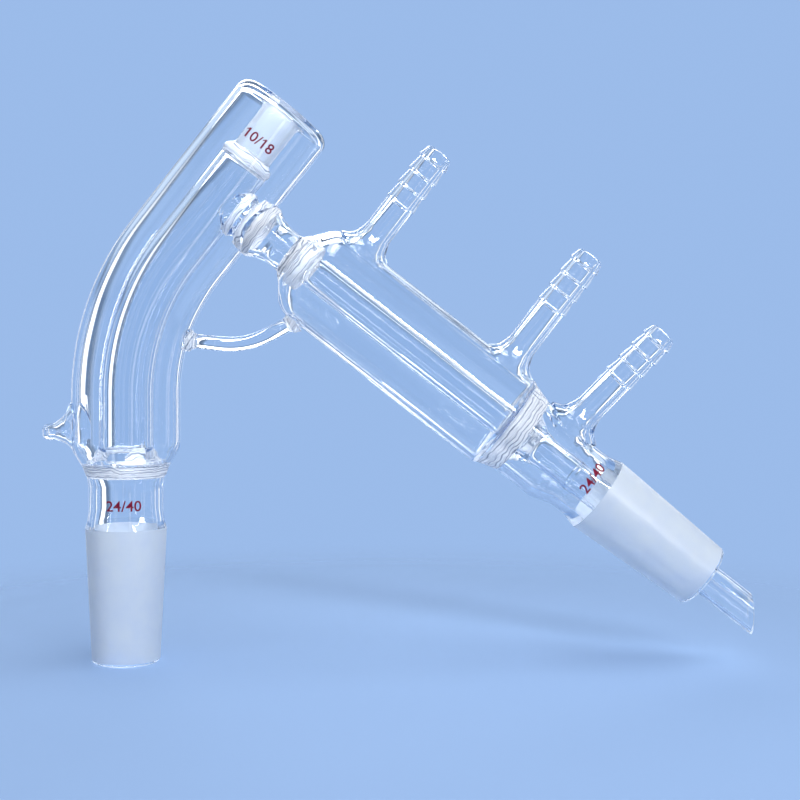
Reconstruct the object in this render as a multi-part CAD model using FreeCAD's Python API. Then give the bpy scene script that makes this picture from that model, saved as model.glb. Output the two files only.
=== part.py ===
import FreeCAD, Part
import math
import os

# Short path distillation head, lampworked from borosilicate tube into one piece of glass.
# Millimetres. The origin is the centre of the pot joint's lower end, +Z runs up that joint,
# and the column leans towards +X in the XZ plane, where every branch lies.

# Standard taper joints: the diameter changes by a tenth of the length
JOINT_TAPER = 0.1
JOINT_WIDE_RADIUS = 12.0
JOINT_LENGTH = 40.0
JOINT_WALL = 2.0
JOINT_RIM_ROUNDING = 1.6
SOCKET_MOUTH_RADIUS = 5.0
SOCKET_LENGTH = 18.0
SOCKET_WALL = 1.3

# Neck between the pot joint and the ring seal of the column
NECK_RADIUS = 11.4
NECK_WALL = 1.8
NECK_LENGTH = 14.6
NECK_STEP = 2.2
SHOULDER_ROUNDING = 5.0

# Column: an evacuated jacket round the vapour tube, upright at the foot and then bent
COLUMN_RADIUS = 16.0
COLUMN_WALL = 1.5
COLUMN_FOOT_STRAIGHT = 15.9
COLUMN_BEND_RADIUS = 69.0
COLUMN_LEAN = 38.0
COLUMN_HEAD_STRAIGHT = 54.6
COLUMN_TOP_ROUNDING = 4.0
COLUMN_RIM = 1.9
FOOT_RING_HEIGHT = 4.2
FOOT_RING_FLARE = 1.8
FOOT_SHOULDER_HEIGHT = 4.8
RISER_RADIUS = 8.0
RISER_WALL = 1.5
RISER_FOOT_INSET = 0.9
RISER_FOOT_TAPER = 2.0
SOCKET_SEAL_LENGTH = 1.8
SOCKET_BORE_TAPER = 3.2
SOCKET_RIM_FLARE = 1.6

# Sealed-off tip where the jacket was pumped out
NIPPLE_HEIGHT = 11.4
NIPPLE_LENGTH = 8.9
NIPPLE_DROOP = 7.0
NIPPLE_ROOT_RADIUS = 7.4
NIPPLE_ROOT_DEPTH = 0.9
NIPPLE_THROAT_RADIUS = 3.3
NIPPLE_BULB_RADIUS = 2.3
NIPPLE_WALL = 0.9
NIPPLE_FLARE = 2.8
NIPPLE_FLARE_ROUNDING = 6.0

# Side arm that carries the vapour out of the column, square to its leaning part
ARM_DROP = 33.9
ARM_RADIUS = 6.4
ARM_WALL = 1.3
ARM_LENGTH = 11.6
ARM_SEAL_RADIUS = 8.8
ARM_SEAL_STANDOFF = 1.2
ARM_SEAL_OVERLAP = 0.2
ARM_FLARE_LENGTH = 5.3
ARM_FLARE_ROUNDING = 4.0

# Condenser: a water jacket round the same tube that ends as the drip tube
CONDENSER_RADIUS = 15.3
CONDENSER_WALL = 1.5
CONDENSER_LENGTH = 74.0
CONDENSER_SHOULDER = 7.0
CONDENSER_SHOULDER_ROUNDING = 8.5
CORE_RADIUS = 4.85
CORE_WALL = 1.2
CORE_ROOT_GROOVE = 0.6
UPPER_SEAL_THICKNESS = 3.4
UPPER_COLLAR_RADIUS = 8.0
UPPER_COLLAR_LENGTH = 6.7
LOWER_SEAL_STEP = 2.9
LOWER_SEAL_THICKNESS = 6.4
LOWER_SEAL_ROUNDING = 3.0
CORE_FLARE = 4.6
CORE_FLARE_LENGTH = 7.0

# Vacuum adapter, neck and receiver joint
ADAPTER_RADIUS = 12.9
ADAPTER_WALL = 2.2
ADAPTER_BODY_LENGTH = 16.8
ADAPTER_LENGTH = 23.0
ADAPTER_ROUNDING = 8.0
WAIST_RADIUS = 10.75
WAIST_LENGTH = 9.1
DRIP_REACH = 18.0

# Hose connections: sawtooth crests on a tapered end
BARB_CRESTS = 4
BARB_PITCH = 5.17
BARB_TIP_LENGTH = 3.9
BARB_CREST_RADIUS = 5.0
BARB_VALLEY_RADIUS = 4.35
BARB_TIP_RADIUS = 4.0
BARB_SHANK_RADIUS = 4.6
BARB_BORE_RADIUS = 2.9
BARB_TIP_ROUNDING = 0.8
BARB_FLARE = 4.5
BARB_FLARE_ROUNDING = 8.0
WATER_OUT_FROM_SHOULDER = 9.5
WATER_OUT_LENGTH = 36.0
WATER_IN_FROM_SEAL = 10.1
WATER_IN_LENGTH = 39.6
VACUUM_FROM_SEAL = 12.3
VACUUM_LENGTH = 37.5
VACUUM_TILT = 6.8

# Solid brace rod between the two jackets
BRACE_RADIUS = 2.0
BRACE_HEIGHT_ABOVE_BEND = 16.3
BRACE_FROM_SHOULDER = 6.3
BRACE_DIP = 6.0
BRACE_RISE = 27.0
BRACE_BEND_RADIUS = 24.0
BRACE_PAD_RADIUS = 3.3
BRACE_PAD_LENGTH = 2.6

# A rounded corner takes at most this share of a side, and turns by about this angle at each chord
ROUNDING_SHARE = 0.49
ROUNDING_CHORD = math.radians(45)
ALMOST_STRAIGHT = 1e-6

# A cut runs this far past the mouth that it opens
CUT_PAST_MOUTH = 1.0

UP = FreeCAD.Vector(0, 0, 1)
ORIGIN = FreeCAD.Vector(0, 0, 0)
ALONG_Y = FreeCAD.Vector(0, 1, 0)
LEAN = math.radians(COLUMN_LEAN)
HEAD_AXIS = FreeCAD.Vector(math.sin(LEAN), 0, math.cos(LEAN))
ARM_AXIS = FreeCAD.Vector(math.cos(LEAN), 0, -math.sin(LEAN))

# Heights up the pot joint's axis
JOINT_NARROW_RADIUS = JOINT_WIDE_RADIUS - JOINT_LENGTH * JOINT_TAPER / 2
SEAL_FOOT = JOINT_LENGTH + NECK_LENGTH
SEAL_TOP = SEAL_FOOT + FOOT_RING_HEIGHT
JACKET_FOOT = SEAL_TOP + FOOT_SHOULDER_HEIGHT
BEND_FOOT = JACKET_FOOT + COLUMN_FOOT_STRAIGHT
BEND_CENTRE = FreeCAD.Vector(COLUMN_BEND_RADIUS, 0, BEND_FOOT)
HEAD_FOOT = BEND_CENTRE + FreeCAD.Vector(-math.cos(LEAN), 0, math.sin(LEAN)) * COLUMN_BEND_RADIUS
ARM_ROOT = HEAD_FOOT + HEAD_AXIS * (COLUMN_HEAD_STRAIGHT - ARM_DROP)

# Distances along the condenser's axis from the column's axis
SHOULDER_START = COLUMN_RADIUS + ARM_LENGTH
JACKET_START = SHOULDER_START + CONDENSER_SHOULDER
JACKET_END = JACKET_START + CONDENSER_LENGTH
ADAPTER_START = JACKET_END + LOWER_SEAL_STEP
WAIST_START = ADAPTER_START + ADAPTER_LENGTH
RECEIVER_START = WAIST_START + WAIST_LENGTH
RECEIVER_END = RECEIVER_START + JOINT_LENGTH
DRIP_END = RECEIVER_END + DRIP_REACH
DRIP_BLANK_END = DRIP_END + CORE_RADIUS * 2
WATER_START = SHOULDER_START + UPPER_SEAL_THICKNESS
COLLAR_END = SHOULDER_START + UPPER_COLLAR_LENGTH
ADAPTER_INSIDE = JACKET_END + LOWER_SEAL_THICKNESS


def frame_at(point, axis):
    """Placement whose +Z is the axis, with its origin at the point."""
    return FreeCAD.Placement(point, FreeCAD.Rotation(UP, axis))


def rounded_face(corners):
    """Profile in the XZ plane; each corner is (along, radius, rounding), broken into short chords."""
    points = [FreeCAD.Vector(radius, 0, along) for along, radius, rounding in corners]
    count = len(points)
    outline = []
    for index, (along, radius, rounding) in enumerate(corners):
        point = points[index]
        back = points[index - 1] - point
        ahead = points[(index + 1) % count] - point
        half_turn = back.getAngle(ahead) / 2
        if rounding <= 0 or math.cos(half_turn) < ALMOST_STRAIGHT:
            outline.append(point)
            continue
        reach = min(rounding / math.tan(half_turn), ROUNDING_SHARE * min(back.Length, ahead.Length))
        radius_used = reach * math.tan(half_turn)
        back.normalize()
        ahead.normalize()
        inward = (back + ahead).normalize()
        centre = point + inward * (reach / math.cos(half_turn))
        turn = math.pi - 2 * half_turn
        chords = max(1, round(turn / ROUNDING_CHORD))
        across = (ahead - inward * ahead.dot(inward)).normalize()
        for step in range(chords + 1):
            angle = turn * (step / chords - 0.5)
            spoke = across * math.sin(angle) - inward * math.cos(angle)
            outline.append(centre + spoke * radius_used)
    return Part.Face(Part.makePolygon(outline + outline[:1]))


def turned(corners, place):
    """Solid of revolution about the place's +Z; the profile is closed along the axis."""
    first = corners[0][0]
    last = corners[-1][0]
    closed = [(first, 0, 0)] + corners + [(last, 0, 0)]
    solid = rounded_face(closed).revolve(ORIGIN, UP, 360)
    solid.Placement = place
    return solid


def bent(radius):
    """The column's bend, as a round bar of one radius."""
    start = FreeCAD.Vector(0, 0, BEND_FOOT)
    disc = Part.Face(Part.Wire(Part.makeCircle(radius, start, UP)))
    return disc.revolve(BEND_CENTRE, ALONG_Y, COLUMN_LEAN)


def joined(solids):
    """One solid from several, with the faces between them merged away."""
    return solids[0].fuse(solids[1:]).removeSplitter()


GROUND_FRAME = frame_at(ORIGIN, UP)
HEAD_FRAME = frame_at(HEAD_FOOT, HEAD_AXIS)
ARM_FRAME = frame_at(ARM_ROOT, ARM_AXIS)


def column_outside():
    """Pot joint, neck, ring seal and the bent outer jacket."""
    foot = turned([
        (0, JOINT_NARROW_RADIUS, JOINT_RIM_ROUNDING),
        (JOINT_LENGTH, JOINT_WIDE_RADIUS, 0),
        (JOINT_LENGTH + NECK_STEP, NECK_RADIUS, 0),
        (SEAL_FOOT, NECK_RADIUS, 0),
        (SEAL_TOP, NECK_RADIUS + FOOT_RING_FLARE, 0),
        (JACKET_FOOT, COLUMN_RADIUS, SHOULDER_ROUNDING),
        (BEND_FOOT, COLUMN_RADIUS, 0),
    ], GROUND_FRAME)
    head = turned([
        (0, COLUMN_RADIUS, 0),
        (COLUMN_HEAD_STRAIGHT, COLUMN_RADIUS, COLUMN_TOP_ROUNDING),
    ], HEAD_FRAME)
    return joined([foot, bent(COLUMN_RADIUS), head])


def column_inside():
    """Room inside the outer jacket, before the vapour tube fills its middle."""
    radius = COLUMN_RADIUS - COLUMN_WALL
    foot = turned([
        (SEAL_TOP + COLUMN_WALL / 2, NECK_RADIUS + FOOT_RING_FLARE - COLUMN_WALL, 0),
        (JACKET_FOOT + COLUMN_WALL / 2, radius, 0),
        (BEND_FOOT, radius, 0),
    ], GROUND_FRAME)
    head = turned([
        (0, radius, 0),
        (COLUMN_HEAD_STRAIGHT - COLUMN_RIM, radius, COLUMN_TOP_ROUNDING - COLUMN_WALL),
    ], HEAD_FRAME)
    return joined([foot, bent(radius), head])


def riser_outside():
    """Vapour tube of the column with its flared ends, and the thermometer socket at its head."""
    socket_radius = SOCKET_MOUTH_RADIUS + SOCKET_WALL
    socket_foot = COLUMN_HEAD_STRAIGHT - SOCKET_LENGTH
    rim = COLUMN_HEAD_STRAIGHT - COLUMN_RIM
    foot = turned([
        (SEAL_FOOT, NECK_RADIUS - RISER_FOOT_INSET, 0),
        (SEAL_TOP + COLUMN_WALL, NECK_RADIUS - RISER_FOOT_INSET, 0),
        (SEAL_TOP + COLUMN_WALL + RISER_FOOT_TAPER, RISER_RADIUS, 0),
        (BEND_FOOT, RISER_RADIUS, 0),
    ], GROUND_FRAME)
    head = turned([
        (0, RISER_RADIUS, 0),
        (socket_foot - SOCKET_SEAL_LENGTH, RISER_RADIUS, 0),
        (socket_foot, socket_radius, 0),
        (rim - SOCKET_RIM_FLARE, socket_radius, 0),
        (rim, socket_radius + SOCKET_RIM_FLARE, 0),
        (COLUMN_HEAD_STRAIGHT, socket_radius + SOCKET_RIM_FLARE, 0),
    ], HEAD_FRAME)
    return joined([foot, bent(RISER_RADIUS), head])


def riser_bore():
    """Passage from the pot joint's mouth to the thermometer socket's mouth."""
    narrow = SOCKET_MOUTH_RADIUS - SOCKET_LENGTH * JOINT_TAPER / 2
    socket_foot = COLUMN_HEAD_STRAIGHT - SOCKET_LENGTH
    radius = RISER_RADIUS - RISER_WALL
    foot = turned([
        (-CUT_PAST_MOUTH, JOINT_NARROW_RADIUS - JOINT_WALL, 0),
        (0, JOINT_NARROW_RADIUS - JOINT_WALL, 0),
        (JOINT_LENGTH, NECK_RADIUS - NECK_WALL, 0),
        (SEAL_FOOT, NECK_RADIUS - NECK_WALL, 0),
        (SEAL_TOP, radius, 0),
        (BEND_FOOT, radius, 0),
    ], GROUND_FRAME)
    head = turned([
        (0, radius, 0),
        (socket_foot - SOCKET_BORE_TAPER, radius, 0),
        (socket_foot, narrow, 0),
        (COLUMN_HEAD_STRAIGHT, SOCKET_MOUTH_RADIUS, 0),
        (COLUMN_HEAD_STRAIGHT + CUT_PAST_MOUTH, SOCKET_MOUTH_RADIUS, 0),
    ], HEAD_FRAME)
    return joined([foot, bent(radius), head])


def nipple(loss):
    """Drawn-out tip with its small end bulb; the loss shrinks it to the hollow inside."""
    root = FreeCAD.Vector(-COLUMN_RADIUS / 2, 0, SEAL_TOP + NIPPLE_HEIGHT)
    droop = math.radians(NIPPLE_DROOP)
    axis = FreeCAD.Vector(-math.cos(droop), 0, -math.sin(droop))
    skin = COLUMN_RADIUS / 2
    tip = skin + NIPPLE_LENGTH
    bulb = NIPPLE_BULB_RADIUS - loss
    return turned([
        (0, NIPPLE_ROOT_RADIUS - loss, 0),
        (skin - NIPPLE_ROOT_DEPTH - loss, NIPPLE_ROOT_RADIUS - loss, 0),
        (skin + NIPPLE_FLARE, NIPPLE_THROAT_RADIUS - loss, NIPPLE_FLARE_ROUNDING),
        (tip - NIPPLE_BULB_RADIUS, bulb, 0),
        (tip - loss, bulb, bulb),
    ], frame_at(root, axis))


def arm_outside():
    """Side arm with the flared ring seal where it passes the column's jacket."""
    inner_wall = COLUMN_RADIUS - COLUMN_WALL
    seal_foot = math.sqrt(inner_wall ** 2 - ARM_SEAL_RADIUS ** 2)
    seal_head = COLUMN_RADIUS + ARM_SEAL_STANDOFF
    flare = ARM_SEAL_RADIUS - ARM_RADIUS
    return turned([
        (0, ARM_RADIUS, 0),
        (seal_foot - flare, ARM_RADIUS, 0),
        (seal_foot - ARM_SEAL_OVERLAP, ARM_SEAL_RADIUS, 0),
        (seal_head, ARM_SEAL_RADIUS, 0),
        (seal_head + ARM_FLARE_LENGTH, ARM_RADIUS, ARM_FLARE_ROUNDING),
        (WATER_START + CONDENSER_WALL, ARM_RADIUS, 0),
    ], ARM_FRAME)


def condenser_outside():
    """Water jacket, lower ring seal, vacuum adapter and receiver joint."""
    return turned([
        (SHOULDER_START, ARM_RADIUS, 0),
        (JACKET_START, CONDENSER_RADIUS, CONDENSER_SHOULDER_ROUNDING),
        (JACKET_END, CONDENSER_RADIUS, LOWER_SEAL_ROUNDING),
        (ADAPTER_START, ADAPTER_RADIUS, 0),
        (ADAPTER_START + ADAPTER_BODY_LENGTH, ADAPTER_RADIUS, ADAPTER_ROUNDING),
        (WAIST_START, WAIST_RADIUS, ADAPTER_ROUNDING),
        (RECEIVER_START - NECK_STEP, WAIST_RADIUS, 0),
        (RECEIVER_START, JOINT_WIDE_RADIUS, 0),
        (RECEIVER_END, JOINT_NARROW_RADIUS, JOINT_RIM_ROUNDING),
    ], ARM_FRAME)


def water_inside():
    """Room inside the water jacket, before the core tube fills its middle."""
    radius = CONDENSER_RADIUS - CONDENSER_WALL
    return turned([
        (WATER_START, UPPER_COLLAR_RADIUS, 0),
        (JACKET_START + CONDENSER_WALL, radius, CONDENSER_SHOULDER_ROUNDING - CONDENSER_WALL),
        (JACKET_END, radius, 0),
    ], ARM_FRAME)


def adapter_inside():
    """Room inside the vacuum adapter and the receiver joint, open at the joint's end."""
    waist = WAIST_RADIUS - ADAPTER_WALL
    return turned([
        (ADAPTER_INSIDE, ADAPTER_RADIUS - ADAPTER_WALL, 0),
        (ADAPTER_START + ADAPTER_BODY_LENGTH, ADAPTER_RADIUS - ADAPTER_WALL, 0),
        (WAIST_START, waist, 0),
        (RECEIVER_START, waist, 0),
        (RECEIVER_END, JOINT_NARROW_RADIUS - JOINT_WALL, 0),
        (RECEIVER_END + CUT_PAST_MOUTH, JOINT_NARROW_RADIUS - JOINT_WALL, 0),
    ], ARM_FRAME)


def core_outside():
    """Core tube from the upper seal's collar, flared out of the lower seal and on as the drip tube."""
    return turned([
        (SHOULDER_START, ARM_RADIUS - CORE_ROOT_GROOVE, 0),
        (WATER_START, UPPER_COLLAR_RADIUS, 0),
        (COLLAR_END, UPPER_COLLAR_RADIUS, 0),
        (COLLAR_END, CORE_RADIUS, 0),
        (JACKET_END, CORE_RADIUS, 0),
        (ADAPTER_INSIDE - CORE_WALL, CORE_RADIUS + CORE_FLARE, 0),
        (ADAPTER_INSIDE, CORE_RADIUS + CORE_FLARE, 0),
        (ADAPTER_INSIDE + CORE_FLARE_LENGTH, CORE_RADIUS, 0),
        (DRIP_BLANK_END, CORE_RADIUS, 0),
    ], ARM_FRAME)


def core_bore():
    """Passage from the column to the drip tip."""
    radius = CORE_RADIUS - CORE_WALL
    arm_bore = ARM_RADIUS - ARM_WALL
    return turned([
        (0, arm_bore, 0),
        (SHOULDER_START, arm_bore, 0),
        (COLLAR_END, radius, 0),
        (DRIP_BLANK_END, radius, 0),
    ], ARM_FRAME)


def cut_tip(solid):
    """Trims the drip tube with an upright plane, which leaves its long side below."""
    size = DRIP_BLANK_END - RECEIVER_END
    middle = ARM_ROOT + ARM_AXIS * DRIP_END
    corner = middle - FreeCAD.Vector(0, size / 2, size / 2)
    return solid.cut(Part.makeBox(size, size, size, corner))


def barb_frame(station, tilt):
    """Frame on the condenser's axis; its +Z points out of the upper side, leaning by the tilt."""
    angle = LEAN + math.radians(tilt)
    axis = FreeCAD.Vector(math.sin(angle), 0, math.cos(angle))
    return frame_at(ARM_ROOT + ARM_AXIS * station, axis)


def barb_outside(skin, end, place):
    """Hose connection, flared where it leaves the tube's skin; its crests face back to the tube."""
    root = BARB_SHANK_RADIUS + BARB_FLARE
    corners = [
        (0, root, 0),
        (skin - BARB_FLARE / 2, root, 0),
        (skin + BARB_FLARE, BARB_SHANK_RADIUS, BARB_FLARE_ROUNDING),
    ]
    valley = BARB_SHANK_RADIUS
    for crest in reversed(range(BARB_CRESTS)):
        step = end - BARB_TIP_LENGTH - crest * BARB_PITCH
        corners.append((step, valley, 0))
        corners.append((step, BARB_CREST_RADIUS, 0))
        valley = BARB_VALLEY_RADIUS
    corners.append((end, BARB_TIP_RADIUS, BARB_TIP_ROUNDING))
    return turned(corners, place)


def barb_bore(end, place):
    """Bore of a hose connection, out past its tip."""
    return turned([(0, BARB_BORE_RADIUS, 0), (end + CUT_PAST_MOUTH, BARB_BORE_RADIUS, 0)], place)


def brace_outside():
    """Bent rod that dips from the column's jacket and climbs to the condenser's, with a pad at each end."""
    height = BEND_FOOT + BRACE_HEIGHT_ABOVE_BEND
    dip = math.radians(BRACE_DIP)
    rise = math.radians(BRACE_RISE)
    inner_bend = COLUMN_BEND_RADIUS - COLUMN_RADIUS
    column_edge = COLUMN_BEND_RADIUS - math.sqrt(inner_bend ** 2 - BRACE_HEIGHT_ABOVE_BEND ** 2)
    start = FreeCAD.Vector(column_edge - COLUMN_WALL / 2, 0, height)
    end = ARM_ROOT + ARM_AXIS * (JACKET_START + BRACE_FROM_SHOULDER)
    end -= HEAD_AXIS * (CONDENSER_RADIUS - CONDENSER_WALL / 2)
    run = (start.z - end.z + (end.x - start.x) * math.tan(rise)) / (math.tan(rise) + math.tan(dip))
    corner = start + FreeCAD.Vector(run, 0, -run * math.tan(dip))
    falling = (corner - start).normalize()
    climbing = (end - corner).normalize()
    reach = BRACE_BEND_RADIUS * math.tan((rise + dip) / 2)
    first = corner - falling * reach
    last = corner + climbing * reach
    lift = (climbing - falling).normalize() * BRACE_BEND_RADIUS * (1 / math.cos((rise + dip) / 2) - 1)
    path = Part.Wire([
        Part.makeLine(start, first),
        Part.Arc(first, corner + lift, last).toShape(),
        Part.makeLine(last, end),
    ])
    disc = Part.Wire(Part.makeCircle(BRACE_RADIUS, start, falling))
    rod = path.makePipeShell([disc], True, False)
    pad = [(0, BRACE_PAD_RADIUS, 0), (BRACE_PAD_LENGTH, BRACE_RADIUS, 0)]
    return joined([rod, turned(pad, frame_at(start, falling)), turned(pad, frame_at(end, -climbing))])


def glass_head():
    """Outer skin of the whole head, less the four spaces that the glass encloses."""
    water_out = barb_frame(JACKET_START + WATER_OUT_FROM_SHOULDER, 0)
    water_in = barb_frame(JACKET_END - WATER_IN_FROM_SEAL, 0)
    vacuum = barb_frame(ADAPTER_START + VACUUM_FROM_SEAL, VACUUM_TILT)
    water_out_end = CONDENSER_RADIUS + WATER_OUT_LENGTH
    water_in_end = CONDENSER_RADIUS + WATER_IN_LENGTH
    vacuum_end = ADAPTER_RADIUS + VACUUM_LENGTH

    barbs = [
        barb_outside(CONDENSER_RADIUS, water_out_end, water_out),
        barb_outside(CONDENSER_RADIUS, water_in_end, water_in),
        barb_outside(ADAPTER_RADIUS, vacuum_end, vacuum),
    ]
    column = joined([column_outside(), nipple(0), arm_outside()])
    condenser = joined([condenser_outside()] + barbs)
    skin = joined([column, condenser, brace_outside(), core_outside()])

    jacket_space = joined([column_inside(), nipple(NIPPLE_WALL)])
    jacket_space = jacket_space.cut(riser_outside()).cut(arm_outside())
    water_bores = [barb_bore(water_out_end, water_out), barb_bore(water_in_end, water_in)]
    water_space = joined([water_inside()] + water_bores).cut(core_outside())
    vacuum_space = joined([adapter_inside(), barb_bore(vacuum_end, vacuum)]).cut(core_outside())
    passage = joined([riser_bore(), core_bore()])
    hollow = skin.cut([jacket_space, water_space, vacuum_space, passage])
    return cut_tip(hollow)


if __name__ == "__main__":
    os.makedirs("parts", exist_ok=True)
    glass_head().exportStep("parts/glass_head.step")
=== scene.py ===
import math

import bmesh
import bpy
from mathutils import Matrix, Vector


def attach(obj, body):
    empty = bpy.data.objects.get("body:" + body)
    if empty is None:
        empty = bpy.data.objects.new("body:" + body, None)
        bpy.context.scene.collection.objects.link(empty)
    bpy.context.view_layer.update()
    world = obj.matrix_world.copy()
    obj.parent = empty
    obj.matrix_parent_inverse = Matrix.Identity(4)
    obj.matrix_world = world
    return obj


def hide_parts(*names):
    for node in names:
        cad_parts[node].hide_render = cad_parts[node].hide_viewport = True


# Short path distillation head in clear borosilicate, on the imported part's frame.
# Shapes are drawn in millimetres in the part's own frame and scaled to metres at the end.

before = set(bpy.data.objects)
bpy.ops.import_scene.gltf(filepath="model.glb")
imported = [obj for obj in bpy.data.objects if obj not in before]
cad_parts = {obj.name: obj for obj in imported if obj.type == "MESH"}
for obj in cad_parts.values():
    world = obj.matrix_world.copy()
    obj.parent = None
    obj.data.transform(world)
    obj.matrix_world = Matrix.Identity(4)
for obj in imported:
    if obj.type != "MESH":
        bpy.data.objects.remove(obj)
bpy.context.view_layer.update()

MM = 0.001
FACETS = 84
ARC_STEP = math.radians(9)
FOLD_ROUNDING = 0.3
UPRIGHT = Vector((0, 0, 1))
LEAN = math.radians(38)
HEAD_AXIS = Vector((math.sin(LEAN), 0, math.cos(LEAN)))
ARM_AXIS = Vector((math.cos(LEAN), 0, -math.sin(LEAN)))

# Sizes of the tubes, as the part's source has them
TAPER = 0.1
JOINT_WIDE, JOINT_NARROW, JOINT_LENGTH, JOINT_WALL = 12.0, 10.0, 40.0, 2.0
NECK, NECK_WALL, SEAL_FOOT, SEAL_TOP = 11.4, 1.8, 54.6, 58.8
NECK_WAIST, NECK_WAIST_FOOT, NECK_WAIST_TOP = 10.95, 45.2, 51.4
RING_FLARE = 1.8
COLUMN, COLUMN_WALL, JACKET_FOOT, BEND_FOOT = 16.0, 1.5, 63.6, 79.5
BEND = 69.0
HEAD_LENGTH, HEAD_RIM, HEAD_ROUNDING = 54.6, 1.9, 4.0
RISER, RISER_WALL = 8.0, 1.5
SOCKET_MOUTH, SOCKET_LENGTH, SOCKET_WALL = 5.0, 18.0, 1.3
ARM, ARM_WALL, ARM_DROP, ARM_SEAL = 6.4, 1.3, 33.9, 8.8
CONDENSER, CONDENSER_WALL = 15.3, 1.5
CORE, CORE_WALL = 4.85, 1.2
ADAPTER, ADAPTER_WALL, WAIST = 12.9, 2.2, 10.75
SHANK, CREST, VALLEY, TIP, HOSE_BORE = 4.6, 5.0, 4.35, 4.0, 2.9
CREST_PITCH, TIP_LENGTH, CRESTS = 5.17, 3.9, 4
BARB_FLARE, BARB_RISE = 4.5, 5.6

BEND_CENTRE = Vector((BEND, 0, BEND_FOOT))
HEAD_FOOT = BEND_CENTRE + Vector((-math.cos(LEAN), 0, math.sin(LEAN))) * BEND
ARM_ROOT = HEAD_FOOT + HEAD_AXIS * (HEAD_LENGTH - ARM_DROP)
SOCKET_FOOT = HEAD_LENGTH - SOCKET_LENGTH

# Stations along the condenser's axis, from the column's axis
SHOULDER_START = 27.6
JACKET_START = 34.6
JACKET_END = 108.6
ADAPTER_TURN = 128.3
WAIST_START = 134.5
RECEIVER_START = 143.6
RECEIVER_END = 183.6
DRIP_END = 201.6
WATER_START = 31.0
COLLAR, COLLAR_END = 8.0, 34.3
ADAPTER_INSIDE = 115.0
CORE_WELD = 134.3
WATER_OUT, WATER_OUT_END = 44.1, 51.3
WATER_IN, WATER_IN_END = 98.5, 54.9
VACUUM, VACUUM_END, VACUUM_TILT = 123.8, 50.4, math.radians(6.8)


# Drawing glass: every tube is one ring of glass drawn out station by station

def frame_on(point, axis):
    """Frame whose +Z is an axis in the XZ plane, with the part's own +Y."""
    across = Vector((0, 1, 0)).cross(axis)
    turn = Matrix((across, Vector((0, 1, 0)), axis)).transposed().to_4x4()
    return Matrix.Translation(point) @ turn


GROUND = frame_on(Vector((0, 0, 0)), UPRIGHT)
HEAD = frame_on(HEAD_FOOT, HEAD_AXIS)
CONDENSER_LINE = frame_on(ARM_ROOT, ARM_AXIS)


def rounded(corners):
    """Profile points from (along, radius, rounding) corners, with the roundings drawn as arcs."""
    points = [Vector((along, radius)) for along, radius, rounding in corners]
    drawn_points = [points[0]]
    for index in range(1, len(points) - 1):
        corner, rounding = points[index], corners[index][2]
        back, ahead = points[index - 1] - corner, points[index + 1] - corner
        half = back.angle(ahead) / 2
        if rounding <= 0 or half > math.radians(89.5):
            drawn_points.append(corner)
            continue
        reach = min(rounding / math.tan(half), 0.49 * min(back.length, ahead.length))
        size = reach * math.tan(half)
        inward = (back.normalized() + ahead.normalized()).normalized()
        centre = corner + inward * (reach / math.cos(half))
        across = (ahead.normalized() - inward * ahead.normalized().dot(inward)).normalized()
        turn = math.pi - 2 * half
        steps = max(2, round(turn / ARC_STEP))
        for step in range(steps + 1):
            angle = turn * (step / steps - 0.5)
            drawn_points.append(centre + (across * math.sin(angle) - inward * math.cos(angle)) * size)
    drawn_points.append(points[-1])
    return [(point.x, point.y) for point in drawn_points]


def folds(start, end, start_radius, end_radius, count, depth=0.07):
    """Corners of the small rings that the flame leaves in a seal between two stations."""
    corners = []
    for index in range(2 * count + 1):
        part = index / (2 * count)
        swell = depth if index % 2 else -depth
        radius = start_radius + (end_radius - start_radius) * part + swell
        corners.append((start + (end - start) * part, radius, FOLD_ROUNDING))
    return corners


def along_axis(corners, line):
    """Stations of a straight tube: a frame and a radius for each profile point."""
    return [(line @ Matrix.Translation((0, 0, along)), radius) for along, radius in rounded(corners)]


def round_bend(radius, steps=26):
    """Stations of the column's bend, between its two straight parts."""
    stations = []
    for step in range(1, steps):
        angle = LEAN * step / steps
        spoke = Vector((-math.cos(angle), 0, math.sin(angle)))
        axis = Vector((math.sin(angle), 0, math.cos(angle)))
        stations.append((frame_on(BEND_CENTRE + spoke * BEND, axis), radius))
    return stations


def drawn(stations, facets=FACETS):
    """Closed bar of glass through the stations."""
    shape = bmesh.new()
    at, radius = stations[0]
    bmesh.ops.create_circle(shape, cap_ends=True, segments=facets, radius=radius, matrix=at)
    edges = list(shape.edges)
    for next_at, next_radius in stations[1:]:
        made = bmesh.ops.extrude_edge_only(shape, edges=edges)["geom"]
        ring = [item for item in made if isinstance(item, bmesh.types.BMVert)]
        rim = set(ring)
        edges = [item for item in made if isinstance(item, bmesh.types.BMEdge) and set(item.verts) <= rim]
        scale = next_radius / radius
        move = next_at @ Matrix.Diagonal((scale, scale, 1, 1)) @ at.inverted()
        bmesh.ops.transform(shape, matrix=move, verts=ring)
        at, radius = next_at, next_radius
    bmesh.ops.holes_fill(shape, edges=edges)
    bmesh.ops.recalc_face_normals(shape, faces=shape.faces)
    return shape


def turned(corners, line):
    """Bar of glass turned on one straight axis."""
    return drawn(along_axis(corners, line))


def up_the_column(foot, radius, head):
    """Bar of glass up the foot, round the bend and up the leaning head."""
    return drawn(along_axis(foot, GROUND) + round_bend(radius) + along_axis(head, HEAD))


def as_object(shape, name):
    mesh = bpy.data.meshes.new(name)
    shape.to_mesh(mesh)
    shape.free()
    made = bpy.data.objects.new(name, mesh)
    bpy.context.scene.collection.objects.link(made)
    return made


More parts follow.
